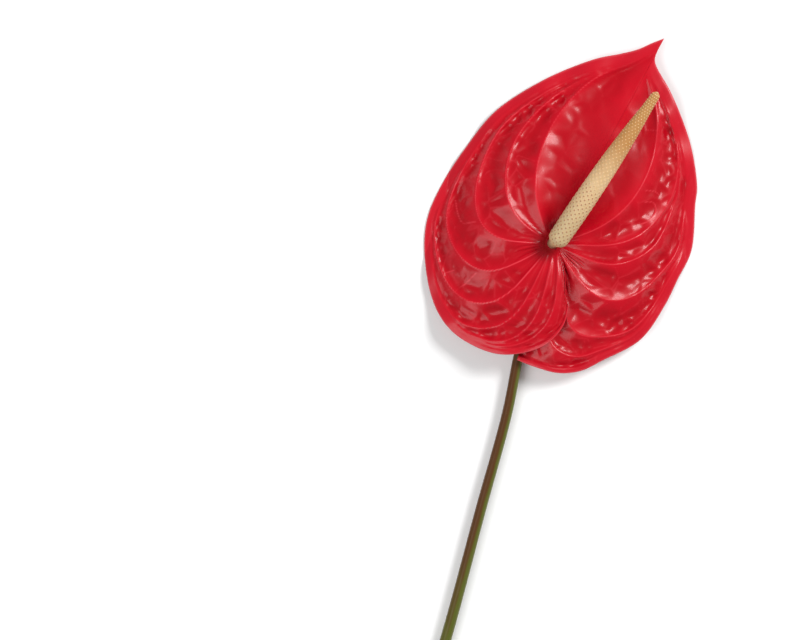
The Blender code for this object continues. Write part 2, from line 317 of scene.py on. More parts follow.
@dataclass(frozen=True)
class WaxyRed:
    """The spathe's thick waxy skin: glossy on its face, paler and duller underneath, with lighter veins.

    Its hollows are painted darker and its ridges lighter, and the ring round the sunken hub darker: painted
    shade and painted light. A thin lighter line along the margin's edge is a painted highlight. Distances
    from veins and creases are in millimetres, and the pores' height is in metres.
    """

    # The red's random tones. The darker one is also painted into the hollows and the brighter onto the
    # ridges: painted shade and painted light
    deep_red_and_hollow_shade: Colour = (0.36, 0.0006, 0.006)
    bright_red_and_ridge_light: Colour = (0.56, 0.0030, 0.015)
    vein: Colour = (0.70, 0.045, 0.065)
    rim: Colour = (0.54, 0.010, 0.024)
    edge: Colour = (0.62, 0.07, 0.09)
    # Darker red round the hub, where the blade sinks into a funnel: painted shade
    heart: Colour = (0.24, 0.0006, 0.004)
    back: Colour = (0.50, 0.035, 0.045)
    clouds: tuple[float, float] = (55.0, 3.0)
    # Relief in millimetres over which the hollows' painted shade turns into the ridges' painted light
    hollow_shade_span: Span = (-2.2, 0.0)
    hub_shade_fade: Fade = (0.04, 0.22, 0.75, 0.0)
    # A thin lighter line along the very edge of the margin: a painted highlight
    rim_fade: Fade = (0.90, 1.0, 0.0, 0.7)
    edge_highlight_fade: Fade = (0.985, 1.0, 0.0, 0.8)
    vein_fade: Fade = (0.12, 0.42, 1.0, 0.0)
    crease_fade: Fade = (0.05, 0.30, 0.25, 0.0)
    side_vein_fade: Fade = (0.15, 0.55, 0.7, 0.0)
    vein_share: float = 0.75
    back_share: float = 0.85
    pores_a_metre: float = 2600.0
    pore_height: float = 0.00006
    pore_strength: float = 0.35
    gloss: float = 0.34
    gloss_change: float = 0.12
    gloss_clouds_a_metre: float = 240.0
    duller_back: float = 0.2

    def material(self) -> bpy.types.Material:
        """Builds the node tree. It reads the attributes that the spathe's mesh holds.

        Returns:
            The finished material.
        """
        n = Nodes("waxy red")
        cloud = n.noise(*self.clouds)
        # Darker red deeper in the hollows, lighter on the ridges: painted shade and painted light
        hollow = n.ramp(n.attribute("relief"), *self.hollow_shade_span)
        tone_and_hollow_shade = n.math("MULTIPLY_ADD", cloud, 0.5, n.math("MULTIPLY", hollow, 0.5))
        body = n.mix(tone_and_hollow_shade, self.deep_red_and_hollow_shade, self.bright_red_and_ridge_light)
        # Painted shade round the sunken hub
        body = n.mix(n.ramp(n.attribute("out"), *self.hub_shade_fade), body, self.heart)
        body = n.mix(n.ramp(n.attribute("out"), *self.rim_fade), body, self.rim)
        # Painted highlight along the margin's edge
        body = n.mix(n.ramp(n.attribute("out"), *self.edge_highlight_fade), body, self.edge)
        cord = n.ramp(n.attribute("vein_distance"), *self.vein_fade)
        fine = n.ramp(n.attribute("crease_distance"), *self.crease_fade)
        fine = n.math("MAXIMUM", fine, n.ramp(n.attribute("side_vein_distance"), *self.side_vein_fade))
        lines = n.math("MAXIMUM", n.math("MULTIPLY", cord, n.attribute("cord_strength")), fine)
        body = n.mix(n.math("MULTIPLY", lines, self.vein_share), body, self.vein)
        body = n.mix(n.math("MULTIPLY", n.attribute("back"), self.back_share), body, self.back)
        n.bump(n.noise(self.pores_a_metre), self.pore_height, self.pore_strength)
        patches = n.noise(self.gloss_clouds_a_metre)
        rough = n.math("MULTIPLY_ADD", patches, self.gloss_change, self.gloss - self.gloss_change / 2)
        rough = n.math("MULTIPLY_ADD", n.attribute("back"), self.duller_back, rough)
        return n.finish(body, rough, Coat_Weight=0.20, Coat_Roughness=0.17, IOR=1.46, Specular_IOR_Level=0.20)


@dataclass(frozen=True)
class FloretSkin:
    """The spadix: cream at its foot and orange-yellow towards its tip, with a dot on each floret.

    The grooves between the florets are painted browner: painted shade. Spans run over the spadix's length,
    from 0 at its foot to 1. The grain's height is in metres.
    """

    cream: Colour = (0.66, 0.46, 0.25)
    foot: Colour = (0.53, 0.40, 0.22)
    gold: Colour = (0.46, 0.21, 0.058)
    # Browner in the grooves between the florets: painted shade
    groove: Colour = (0.46, 0.29, 0.12)
    brown_dot: Colour = (0.33, 0.13, 0.06)
    pale_dot: Colour = (0.82, 0.58, 0.30)
    wander: float = 0.16
    wander_clouds_a_metre: float = 160.0
    cream_span: Span = (0.05, 0.40)
    gold_span: Span = (0.38, 0.72)
    groove_shade_fade: Fade = (0.70, 1.0, 0.0, 0.4)
    dots_change: Span = (0.34, 0.46)
    # Radius of a dot in millimetres, before and after the dots change
    dot_radii: tuple[float, float] = (0.52, 0.32)
    dot_edge: Span = (0.0, 0.5)
    dot_share: float = 0.8
    grains_a_metre: float = 5200.0
    grain_height: float = 0.00005
    grain_strength: float = 0.3
    roughness: float = 0.46

    def material(self) -> bpy.types.Material:
        """Builds the node tree. It reads the attributes that the spadix's mesh holds.

        Returns:
            The finished material.
        """
        n = Nodes("florets")
        centred = n.math("SUBTRACT", n.attribute("along"), self.wander / 2)
        along = n.math("MULTIPLY_ADD", n.noise(self.wander_clouds_a_metre), self.wander, centred)
        body = n.mix(n.ramp(along, *self.cream_span), self.foot, self.cream)
        body = n.mix(n.ramp(along, *self.gold_span), body, self.gold)
        # Painted shade in the grooves between the florets
        body = n.mix(n.ramp(n.attribute("groove"), *self.groove_shade_fade), body, self.groove)
        dot_colour = n.mix(n.ramp(along, *self.dots_change), self.brown_dot, self.pale_dot)
        reach = n.ramp(along, *self.dots_change, *self.dot_radii)
        dot = n.math("SUBTRACT", 1.0, n.math("DIVIDE", n.attribute("dot"), reach))
        dot = n.math("MULTIPLY", n.ramp(dot, *self.dot_edge), self.dot_share)
        body = n.mix(dot, body, dot_colour)
        n.bump(n.noise(self.grains_a_metre), self.grain_height, self.grain_strength)
        return n.finish(
            body, self.roughness, IOR=1.42,
            Subsurface_Weight=0.12, Subsurface_Radius=(0.9, 0.5, 0.25), Subsurface_Scale=MM,
        )  # fmt: skip


@dataclass(frozen=True)
class StalkSkin:
    """The peduncle's smooth skin: reddish brown over green, greener towards the cut, which is pale inside.

    The side towards +x, where the key light stands, is greener and painted lighter: painted light. The
    streaks' height is in metres.
    """

    green: Colour = (0.090, 0.104, 0.014)
    brown: Colour = (0.088, 0.032, 0.007)
    # A lighter green for the specks, and for the painted light on the side towards +x
    light: Colour = (0.122, 0.132, 0.024)
    pith: Colour = (0.52, 0.56, 0.27)
    fibre: Colour = (0.24, 0.28, 0.09)
    streaks: tuple[float, float, Colour] = (300.0, 2.0, (1.0, 0.2, 1.0))
    streak_share: float = 0.4
    streak_height: float = 0.00006
    streak_strength: float = 0.4
    blush_along: Fade = (0.12, 0.70, -0.10, 0.75)
    blush_fades_to: Span = (-0.1, 0.8)
    blush_lost: float = -0.75
    blush_span: Span = (0.20, 0.85)
    # How strongly the side towards the key light is painted lighter: painted light
    lit_side_fade: Fade = (0.35, 0.95, 0.0, 0.55)
    specks: tuple[float, float] = (1400.0, 1.0)
    speck_fade: Fade = (0.70, 0.80, 0.0, 0.4)
    fibres: tuple[float, float] = (2300.0, 1.0)
    fibre_span: Span = (0.52, 0.66)
    roughness: float = 0.38
    rougher_cut: float = 0.3

    def material(self) -> bpy.types.Material:
        """Builds the node tree. It reads the attributes that the peduncle's mesh holds.

        Returns:
            The finished material.
        """
        n = Nodes("stalk")
        streaks = n.noise(*self.streaks)
        blush = n.ramp(n.attribute("along"), *self.blush_along)
        blush = n.math("MULTIPLY_ADD", streaks, self.streak_share, blush)
        # Towards +x, where the key light stands, the brown blush thins
        facing_light = n.ramp(n.attribute("light_facing_side"), *self.blush_fades_to)
        blush = n.math("MULTIPLY_ADD", facing_light, self.blush_lost, blush)
        body = n.mix(n.ramp(blush, *self.blush_span), self.green, self.brown)
        # That side painted lighter: painted light
        body = n.mix(n.ramp(n.attribute("light_facing_side"), *self.lit_side_fade), body, self.light)
        body = n.mix(n.ramp(n.noise(*self.specks), *self.speck_fade), body, self.light)
        cut = n.attribute("cut")
        fibres = n.ramp(n.noise(*self.fibres), *self.fibre_span)
        body = n.mix(cut, body, n.mix(fibres, self.pith, self.fibre))
        n.bump(streaks, self.streak_height, self.streak_strength)
        rough = n.math("MULTIPLY_ADD", cut, self.rougher_cut, self.roughness)
        return n.finish(body, rough, IOR=1.44, Coat_Weight=0.05, Coat_Roughness=0.25, Specular_IOR_Level=0.28)


@dataclass(frozen=True)
class PaleFloor:
    """The plain pale surface that the flower lies on."""

    colour: Colour = (0.94, 0.94, 0.94)
    roughness: float = 0.9

    def material(self) -> bpy.types.Material:
        """Builds the node tree."""
        return Nodes("pale floor").finish((*self.colour, 1.0), self.roughness, Specular_IOR_Level=0.1)


def write_layers(mesh_in_work: bmesh.types.BMesh, names: tuple[str, ...]) -> dict[str, object]:
    """Adds one number a vertex for each name, for the materials to read."""
    return {name: mesh_in_work.verts.layers.float.new(name) for name in names}


def show(piece_mesh: bmesh.types.BMesh, name: str, material: bpy.types.Material) -> bpy.types.Object:
    """Makes a smooth shaded object of a finished bmesh.

    Args:
        piece_mesh: The finished bmesh, which is freed.
        name: The object's name.
        material: Its finish.

    Returns:
        The object, with its place in its mesh.
    """
    mesh = bpy.data.meshes.new(name)
    piece_mesh.to_mesh(mesh)
    piece_mesh.free()
    mesh.materials.append(material)
    mesh.shade_smooth()
    piece = bpy.data.objects.new(name, mesh)
    bpy.context.scene.collection.objects.link(piece)
    return piece


def hand_over(piece: bpy.types.Object, node: str) -> None:
    """Lets a piece stand for its CAD node.

    Args:
        piece: The finished piece.
        node: The CAD node that it replaces.
    """
    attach(piece, BODY)
    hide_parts(node)
    log.info("%s: %d faces", piece.name, len(piece.data.polygons))


@dataclass
class HalfBlade:
    """One half of the spathe, as spokes from the hub to the margin. Grids run over spokes, then rings.

    Spans run over the distance from the hub in millimetres, or over the share of the way to the margin.
    """

    half: Half
    margin_points: Table
    spokes: int
    rings: int
    heights: Table
    veins: Table
    side_veins: tuple[Table, ...]
    edge_bow: float
    hub_height: float = 13.0
    pad_radius: float = 3.4
    bow_angle: float = 40.0
    bow_to_one: float = 6.75
    rim_bend: int = 14
    numbers_a_panel: int = 20
    # Vein numbers a millimetre, below which a panel counts as no wider
    least_slope: float = 0.02
    pleat_slope: float = 0.21
    pleat_limit: float = 1.9
    pleat_lean: float = 1.25
    pleat_power: float = 0.95
    pleats_full_at: float = 9.0
    blister_depth: float = 1.15
    blister_slope: float = 0.65
    blister_sizes: tuple[float, float] = (9.5, 6.5)
    blister_power: float = 0.6
    blisters_start: Span = (12.0, 30.0)
    blisters_next_to_midrib: float = 0.4
    first_vein: Span = (0.85, 1.15)
    fine_blisters: Span = (0.6, 0.82)
    full_panel_width: float = 6.0
    crease_depths: Span = (0.2, 0.5)
    crease_kept_away: float = 2.0
    relief_ends: Span = (0.935, 0.97)
    swell_height: float = 0.7
    swell_length: float = 11.0
    swell_starts: Span = (8.0, 20.0)
    swell_ends: Span = (0.9, 1.0)
    crown_lean: float = 0.9
    rim_wave: float = 0.7
    rim_wave_length: float = 26.0
    rim_wave_starts: Span = (0.7, 1.0)
    rim_wave_from_tip: float = 20.0
    lap_lift: float = 0.9
    # Degrees before the sinus
    lap_starts: Span = (50.0, 5.0)
    cord_height: float = 0.16
    cord_radius: float = 0.5
    cord_widths: Span = (1.2, 4.5)
    cord_starts: Span = (4.0, 14.0)
    side_vein_height: float = 0.10
    side_vein_steps: int = 8

    def __post_init__(self) -> None:
        """Lays out the spokes and reads the tables along them."""
        self.margin = evenly(smooth_curve(self.margin_points), self.spokes)
        self.angle = self.angle_from_midrib()
        self.reach = np.linalg.norm(self.margin, axis=1)
        self.share = np.linspace(0.0, 1.0, self.rings + 1)
        self.margin_height, self.crown = by_angle(self.heights, self.angle)
        self.plan = self.plan_points()
        self.distance = np.hypot(self.plan[..., 0], self.plan[..., 1])
        self.vein_number = self.vein_numbers()
        self.width = self.panel_width()

    def angle_from_midrib(self) -> Curve:
        """Angle of each spoke from the midrib, growing steadily round to the sinus, in degrees."""
        turn = np.unwrap(np.arctan2(self.margin[:, 1], self.margin[:, 0]))
        return np.degrees(np.abs(turn - turn[0]))

    def plan_points(self) -> Grid:
        """Places every grid point in the plan. Spokes next to the sinus are bowed, and the others straight.

        Returns:
            x and y of each point, in millimetres.
        """
        out = self.margin[:, None, :] * self.share[None, :, None]
        nearness = smoothstep(self.angle[-1] - self.bow_angle, self.angle[-1], self.angle)[:, None]
        out[..., 0] += self.edge_bow * nearness * self.bow_to_one * self.share * (1.0 - self.share) ** 2
        return out

    def crossings(self, numbers: Curve) -> Grid:
        """Finds where each spoke crosses each vein.

        Args:
            numbers: The veins' numbers, whole or between two veins.

        Returns:
            The share of the spoke's length, one row a spoke and one column a vein.
        """
        veins = np.array(self.veins, float)
        leave, reach, curl, rim = (np.interp(numbers, np.arange(len(veins)), veins[:, i]) for i in range(4))
        share = np.clip((leave - self.angle[:, None]) / np.maximum(leave, TINY), 0.0, 1.0)
        free = reach * share**curl
        crossing = free * rim / (free**self.rim_bend + rim**self.rim_bend) ** (1.0 / self.rim_bend)
        return np.maximum.accumulate(crossing, axis=1)

    def vein_numbers(self) -> Grid:
        """Works out which vein each point lies on.

        Returns:
            A number that grows from 0 at the midrib to the sinus, and is whole on a vein.
        """
        last = len(self.veins) - 1
        numbers = np.linspace(0.0, last, self.numbers_a_panel * last + 1)
        crossing = self.crossings(numbers) + TINY * np.arange(len(numbers))
        crossing[:, -1] = np.maximum(crossing[:, -1], 1.0)
        return np.array([np.interp(self.share, row, numbers) for row in crossing])

    def panel_width(self) -> Grid:
        """Measures across the panel between two veins.

        Returns:
            The width at each point, in millimetres.
        """
        spoke_step = np.gradient(self.plan, axis=0)
        ring_step = np.gradient(self.plan, axis=1)
        by_spoke, by_ring = np.gradient(self.vein_number)
        area = spoke_step[..., 0] * ring_step[..., 1] - spoke_step[..., 1] * ring_step[..., 0]
        area = np.where(np.abs(area) < TINY, TINY, area)
        along_x = (by_spoke * ring_step[..., 1] - by_ring * spoke_step[..., 1]) / area
        along_y = (by_ring * spoke_step[..., 0] - by_spoke * ring_step[..., 0]) / area
        return 1.0 / np.maximum(np.hypot(along_x, along_y), self.least_slope)

    def over_plan(self, read: Callable[[Vector], float]) -> Grid:
        """Reads a function of the place in the plan at every grid point.

        Args:
            read: The function, which takes a Vector in millimetres.

        Returns:
            What it gives at each point.
        """
        places = zip(self.plan[..., 0].ravel(), self.plan[..., 1].ravel(), strict=True)
        return np.array([read(Vector((x, y, 0.0))) for x, y in places]).reshape(self.distance.shape)

    def relief(self) -> tuple[Grid, Grid]:
        """Works out how the blade sags between its raised veins and between the small ridges of its blisters.

        Returns:
            The relief, below 0 in the hollows, and the distance to the blister's border in millimetres, kept
            away from 0 where the blisters are too shallow to show one.
        """
        across = self.vein_number % 1.0
        near_hub = smoothstep(self.pad_radius, self.pleats_full_at, self.distance)
        pleat = np.minimum(self.pleat_slope * self.width, self.pleat_limit)
        pleat = pleat * np.sin(np.pi * across**self.pleat_lean) ** self.pleat_power
        border = self.blister_border()
        depth = self.blister_depth * np.minimum(self.width / self.full_panel_width, 1.0)
        depth = depth * np.sin(np.pi * across) ** self.blister_power
        past_first_vein = smoothstep(*self.first_vein, self.vein_number)
        next_to_midrib = self.blisters_next_to_midrib
        share = next_to_midrib + (1.0 - next_to_midrib) * past_first_vein
        depth *= smoothstep(*self.blisters_start, self.distance) * share
        hollow = smoothstep(0.0, self.blister_slope, border)
        too_shallow = 1.0 - smoothstep(*self.crease_depths, depth)
        crease = border * self.blister_sizes[0] / 2 + self.crease_kept_away * too_shallow
        return -(pleat + depth * hollow) * near_hub, crease

    def blister_border(self) -> Grid:
        """Finds how far each point is from the border of the blister it lies in.

        Returns:
            The distance, as a share of the blister's size.
        """

        def border(place: Vector) -> float:
            """How much further off the second nearest blister's middle is than the nearest."""
            nearest, second = noise.voronoi(place)[0][:2]
            return second - nearest

        coarse, fine = (
            self.over_plan(lambda place, size=size: border(place / size)) for size in self.blister_sizes
        )
        finer = smoothstep(*self.fine_blisters, np.broadcast_to(self.share, self.distance.shape))
        return coarse * (1.0 - finer) + fine * finer

    def heights_of_middle(self) -> tuple[Grid, Grid, Grid]:
        """Works out the blade's form.

        Returns:
            The height of the blade's middle, the relief in it, and the distance to a blister's border.
        """
        out = np.clip((self.distance - self.pad_radius) / (self.reach[:, None] - self.pad_radius), 0.0, 1.0)
        height = self.hub_height + (self.margin_height[:, None] - self.hub_height) * out
        height += self.crown[:, None] * np.sin(np.pi * out**self.crown_lean)
        swell_share = smoothstep(*self.swell_starts, self.distance)
        height += self.swell() * swell_share * (1.0 - smoothstep(*self.swell_ends, out))
        relief, crease = self.relief()
        cord = self.cord_height * np.exp(-((self.vein_distance() / self.cord_radius) ** 2))
        cord *= self.cord_strength()
        cord += self.side_vein_height * np.exp(-((self.side_vein_distance() / self.cord_radius) ** 2))
        height += (relief + cord) * (1.0 - smoothstep(*self.relief_ends, out))
        edge = along_line(self.margin)
        wave = self.rim_wave * np.sin(2.0 * np.pi * edge / self.rim_wave_length)[:, None]
        off_tip = smoothstep(0.0, self.rim_wave_from_tip, edge)[:, None]
        height += wave * smoothstep(*self.rim_wave_starts, out) * off_tip
        lap_from, lap_to = (self.angle[-1] - before for before in self.lap_starts)
        near_sinus = smoothstep(lap_from, lap_to, self.angle)[:, None]
        off_pad = smoothstep(self.pad_radius, self.pleats_full_at, self.distance)
        height -= self.half.value * self.lap_lift * near_sinus * off_pad
        return height, relief, crease

    def swell(self) -> Grid:
        """Slow uneven waves that keep the blade from looking turned on a lathe."""
        return self.swell_height * self.over_plan(lambda place: noise.noise(place / self.swell_length))

    def vein_distance(self) -> Grid:
        """Distance to the nearest vein, in millimetres."""
        return np.abs(self.vein_number - np.round(self.vein_number)) * self.width

    def side_vein_distance(self) -> Grid:
        """Measures to the nearest small side vein.

        Returns:
            The distance at each point, in millimetres.
        """
        nearest = np.full(self.distance.shape, np.inf)
        for vein in self.side_veins:
            line = smooth_curve(vein, self.side_vein_steps)
            for start, end in zip(line[:-1], line[1:], strict=True):
                step = end - start
                share = np.clip(((self.plan - start) @ step) / (step @ step), 0.0, 1.0)
                gap = self.plan - (start + share[..., None] * step)
                nearest = np.minimum(nearest, np.hypot(gap[..., 0], gap[..., 1]))
        return nearest

    def cord_strength(self) -> Grid:
        """Works out how much a vein stands out.

        Returns:
            The strength at each point, from 0 where veins run close together or meet at the hub to 1.
        """
        clear = np.array([row[4] for row in self.veins])[np.round(self.vein_number).astype(int)]
        room = smoothstep(*self.cord_widths, self.width)
        return clear * room * smoothstep(*self.cord_starts, self.distance)

    def fields(self) -> dict[str, Grid]:
        """Gathers what the mesh needs.

        Returns:
            The values at each grid point, by name.
        """
        height, relief, crease = self.heights_of_middle()
        return {
            "x": self.plan[..., 0],
            "y": self.plan[..., 1],
            "z": height,
            "relief": relief,
            "crease_distance": crease,
            "vein_distance": self.vein_distance(),
            "side_vein_distance": self.side_vein_distance(),
            "cord_strength": self.cord_strength(),
            "out": np.broadcast_to(self.share, self.distance.shape),
        }


@dataclass
class Spathe:
    """The heart-shaped bract: one thin waxy blade, with its lobes lapped over the peduncle."""

    finish: WaxyRed = field(default_factory=WaxyRed)
    thickness: float = 0.9
    rim_thickness: float = 0.5
    thinning_power: int = 4
    spokes_right: int = 170
    spokes_left: int = 205
    rings: int = 116
    right_edge_bow: float = 5.0
    left_edge_bow: float = 2.4
    # From the lobe's hidden inner corner round to the drip tip
    right_margin: Table = (
        (-15.8, -51.5), (-7.9, -54.6), (2.5, -57.3), (12.3, -56.4), (22.1, -51.7), (38.7, -42.7),
        (50.0, -27.0), (55.4, -16.1), (61.5, -3.5), (63.3, 17.3), (64.1, 25.2), (60.9, 44.9),
        (52.4, 66.5), (45.2, 80.3), (46.2, 84.5), (49.3, 90.4),
    )  # fmt: skip
    # From the drip tip round to the lobe's inner corner, which lies over the right lobe
    left_margin: Table = (
        (49.3, 90.4), (44.0, 88.4), (38.0, 85.7), (30.4, 83.8), (18.5, 81.3), (-2.9, 72.7), (-25.1, 58.5),
        (-38.9, 41.6), (-48.3, 27.1), (-55.0, 12.1), (-56.6, -2.5), (-53.6, -23.0), (-47.7, -35.2),
        (-38.5, -43.3), (-22.6, -49.1), (-4.7, -45.5), (4.4, -36.5), (6.8, -28.0),
    )  # fmt: skip
    # Angle from the midrib in degrees, height of the margin there, and rise of the crown on the way to it
    right_heights: Table = (
        (0, 6.0, 0.0), (14, 3.5, 4.5), (32, 0.0, 7.2), (50, -2.2, 8.2), (68, 0.0, 8.0), (95, 4.5, 6.5),
        (130, 8.0, 3.5), (170, 11.0, 0.8),
    )  # fmt: skip
    left_heights: Table = (
        (0, 6.0, 0.0), (16, 4.5, 4.0), (45, 3.0, 7.5), (82, 0.2, 8.5), (102, -2.2, 8.8), (122, 0.2, 8.5),
        (142, 3.8, 7.0), (165, 9.5, 5.0), (195, 14.0, 3.0), (222, 15.5, 1.8),
    )  # fmt: skip
    # Angle at which a vein leaves the hub, reach and curl of its arc, its share of the radius at the rim, and
    # how clearly it shows
    right_veins: Table = (
        (0, 1.05, 0.75, 0.95, 0.5), (48, 1.01, 0.52, 0.95, 0.5), (66, 1.12, 0.32, 0.95, 0.45),
        (88, 1.05, 0.30, 0.95, 0.4), (118, 1.16, 0.27, 0.95, 0.35), (146, 1.20, 0.19, 0.955, 0.5),
        (162, 1.25, 0.16, 0.955, 0.4), (182, 1.30, 0.04, 1.0, 0.3),
    )  # fmt: skip
    left_veins: Table = (
        (0, 1.10, 0.75, 0.95, 0.5), (58, 1.10, 0.65, 0.95, 0.6), (90, 1.04, 0.43, 0.95, 0.75),
        (118, 1.08, 0.30, 0.95, 1.0), (148, 1.20, 0.26, 0.95, 1.0), (169, 1.25, 0.21, 0.955, 1.0),
        (184, 1.42, 0.20, 0.955, 0.4), (197, 1.40, 0.17, 0.955, 0.35), (209, 1.35, 0.15, 0.96, 0.3),
        (236, 1.30, 0.04, 1.0, 0.2),
    )  # fmt: skip
    # Small veins between two others, point by point in the plan
    right_side_veins: tuple[Table, ...] = (
        ((40.3, 18.1), (44.4, 17.9), (45.6, 14.6), (43.3, 10.5), (38.8, 8.2)),
        ((40.6, 23.2), (44.8, 22.9), (47.4, 21.2)),
        ((40.8, 50.0), (46.4, 49.7)),
    )  # fmt: skip
    left_side_veins: tuple[Table, ...] = (
        ((-42.8, 18.9), (-41.6, 12.5), (-39.6, 9.0), (-33.9, 9.4)),
        ((-49.3, -14.1), (-43.6, -11.9)),
        ((-44.0, -21.6), (-39.2, -18.5), (-33.9, -13.2)),
    )  # fmt: skip

    def __post_init__(self) -> None:
        """Joins the fields of both halves along the midrib, and finds the hub in the frame."""
        right = HalfBlade(
            Half.RIGHT, self.right_margin[::-1], self.spokes_right, self.rings, self.right_heights,
            self.right_veins, self.right_side_veins, self.right_edge_bow,
        )  # fmt: skip
        left = HalfBlade(
            Half.LEFT, self.left_margin, self.spokes_left, self.rings, self.left_heights,
            self.left_veins, self.left_side_veins, self.left_edge_bow,
        )  # fmt: skip
        first, second = right.fields(), left.fields()
        self.fields = {name: np.concatenate([first[name][::-1], second[name][1:]]) for name in first}
        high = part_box("spathe")[1]
        furthest_right, furthest_up = float(self.fields["x"].max()), float(self.fields["y"].max())
        self.hub = Vector((high.x - furthest_right * MM, high.y - furthest_up * MM, 0.0))

    def build(self) -> bpy.types.Object:
        """Makes the blade of two sheets that meet round its margin.

        Returns:
            The finished piece.
        """
        spokes, rings = self.fields["x"].shape
        thicker = (self.thickness - self.rim_thickness) * (1.0 - self.fields["out"] ** self.thinning_power)
        thickness = self.rim_thickness + thicker
        middle = np.maximum(self.fields["z"], self.thickness / 2)
        sheet = bmesh.new()
        bmesh.ops.create_grid(sheet, x_segments=spokes - 1, y_segments=rings - 1, size=1.0)
        names = ("relief", "crease_distance", "vein_distance", "side_vein_distance", "cord_strength", "out")
        layers = write_layers(sheet, (*names, "half_thickness", "back"))
        half_thickness = layers["half_thickness"]
        for vertex in sheet.verts:
            spoke = round((vertex.co.x + 1.0) / 2.0 * (spokes - 1))
            ring = round((vertex.co.y + 1.0) / 2.0 * (rings - 1))
            at = (spoke, ring)
            vertex.co = self.hub + Vector((self.fields["x"][at], self.fields["y"][at], middle[at])) * MM
            for name in names:
                vertex[layers[name]] = float(self.fields[name][at])
            vertex[half_thickness] = float(thickness[at]) / 2 * MM
        bmesh.ops.remove_doubles(sheet, verts=sheet.verts, dist=SAME_POINT)
        bmesh.ops.triangulate(sheet, faces=sheet.faces, quad_method="FIXED")
        lower = bmesh.ops.extrude_face_region(sheet, geom=sheet.faces[:], use_keep_orig=True)
        below = {part for part in lower["geom"] if isinstance(part, bmesh.types.BMVert)}
        for vertex in sheet.verts:
            vertex[layers["back"]] = 1.0 if vertex in below else 0.0
            vertex.co.z += -vertex[half_thickness] if vertex in below else vertex[half_thickness]
        bmesh.ops.recalc_face_normals(sheet, faces=sheet.faces)
        piece = show(sheet, "spathe_blade", self.finish.material())
        hand_over(piece, "spathe")
        return piece


@dataclass
class Spadix:
    """The flower spike: a tapering finger set with florets in crossed spirals, on a short stipe."""

    hub: Vector
    finish: FloretSkin = field(default_factory=FloretSkin)
    length: float = 81.5
    azimuth: float = 34.0
    rise: float = 9.0
    foot: tuple[float, float, float] = (0.2, -1.2, 20.4)
    # Share of the length, and radius there
    radii: Table = (
        (0.0, 4.1), (0.06, 4.55), (0.25, 4.8), (0.45, 4.55),
        (0.62, 4.0), (0.78, 3.1), (0.90, 2.2), (1.0, 1.7),
    )  # fmt: skip
    foot_rounding: float = 4.0
    tip_rounding: float = 2.2
    floret_columns: int = 24
    floret_rows: int = 66
    sides: int = 168
    steps: int = 396
    floret_height: float = 0.12
    floret_power: int = 3
    florets_start: Span = (0.0, 0.5)
    stigma_height: float = 0.13
    stigma_radius: float = 0.26

    def axis(self) -> Vector:
        """Finds the direction of the spike.

        Returns:
            A unit vector.
        """
        azimuth, rise = math.radians(self.azimuth), math.radians(self.rise)
        flat = math.cos(rise)
        return Vector((math.sin(azimuth) * flat, math.cos(azimuth) * flat, math.sin(rise)))

    def floret(self, around: Grid, along: Grid, radius: Grid) -> tuple[Grid, Grid]:
        """Finds each point's place on its floret.

        Args:
            around: Share of a turn.
            along: Share of the length.
            radius: Radius of the spike there, in millimetres.

        Returns:
            Distance from the floret's middle in millimetres, and nearness to its border from 0 to 1.
        """
        column, row = around * self.floret_columns, along * self.floret_rows
        first, second = (column + row) / 2.0, (column - row) / 2.0
        off_first, off_second = first - np.round(first), second - np.round(second)
        width = 2.0 * np.pi * radius / self.floret_columns
        height = self.length / self.floret_rows
        distance = np.hypot((off_first + off_second) * width, (off_first - off_second) * height)
        border = 2.0 * np.maximum(np.abs(off_first), np.abs(off_second))
        return distance, border

    def build(self) -> bpy.types.Object:
        """Makes the spike with its florets raised from it.

        Returns:
            The finished piece.
        """
        turns, shares = np.arange(self.sides) / self.sides, np.arange(self.steps + 1) / self.steps
        around, along = np.meshgrid(turns, shares)
        profile = smooth_curve(self.radii)
        radius = np.interp(along, profile[:, 0], profile[:, 1])
        foot_cap = along * self.length / self.foot_rounding
        tip_cap = (1.0 - along) * self.length / self.tip_rounding
        cap = np.minimum(1.0, np.minimum(foot_cap, tip_cap))
        distance, border = self.floret(around, along, radius)
        raised = self.floret_height * (1.0 - border**self.floret_power)
        raised += self.stigma_height * np.exp(-((distance / self.stigma_radius) ** 2))
        radius = radius * np.sqrt(1.0 - (1.0 - cap) ** 2) + raised * smoothstep(*self.florets_start, cap)
        spike = bmesh.new()
        bmesh.ops.create_uvsphere(spike, u_segments=self.sides, v_segments=self.steps, radius=1.0)
        layers = write_layers(spike, ("along", "dot", "groove"))
        turn = self.axis().to_track_quat("Z", "Y").to_matrix()
        foot = self.hub + Vector(self.foot) * MM
        for vertex in spike.verts:
            step = round(math.acos(max(-1.0, min(1.0, -vertex.co.z))) / math.pi * self.steps)
            side = round(math.atan2(vertex.co.y, vertex.co.x) / (2 * math.pi) * self.sides) % self.sides
            at = (step, side)
            angle = side / self.sides * 2 * math.pi
            reach = float(radius[at])
            from_foot = step / self.steps * self.length
            place = Vector((reach * math.cos(angle), reach * math.sin(angle), from_foot)) * MM
            vertex.co = turn @ place + foot
            vertex[layers["along"]] = step / self.steps
            vertex[layers["dot"]] = float(distance[at])
            vertex[layers["groove"]] = float(border[at])
        bmesh.ops.recalc_face_normals(spike, faces=spike.faces)
        piece = show(spike, "spadix_spike", self.finish.material())
        hand_over(piece, "spadix")
        return piece


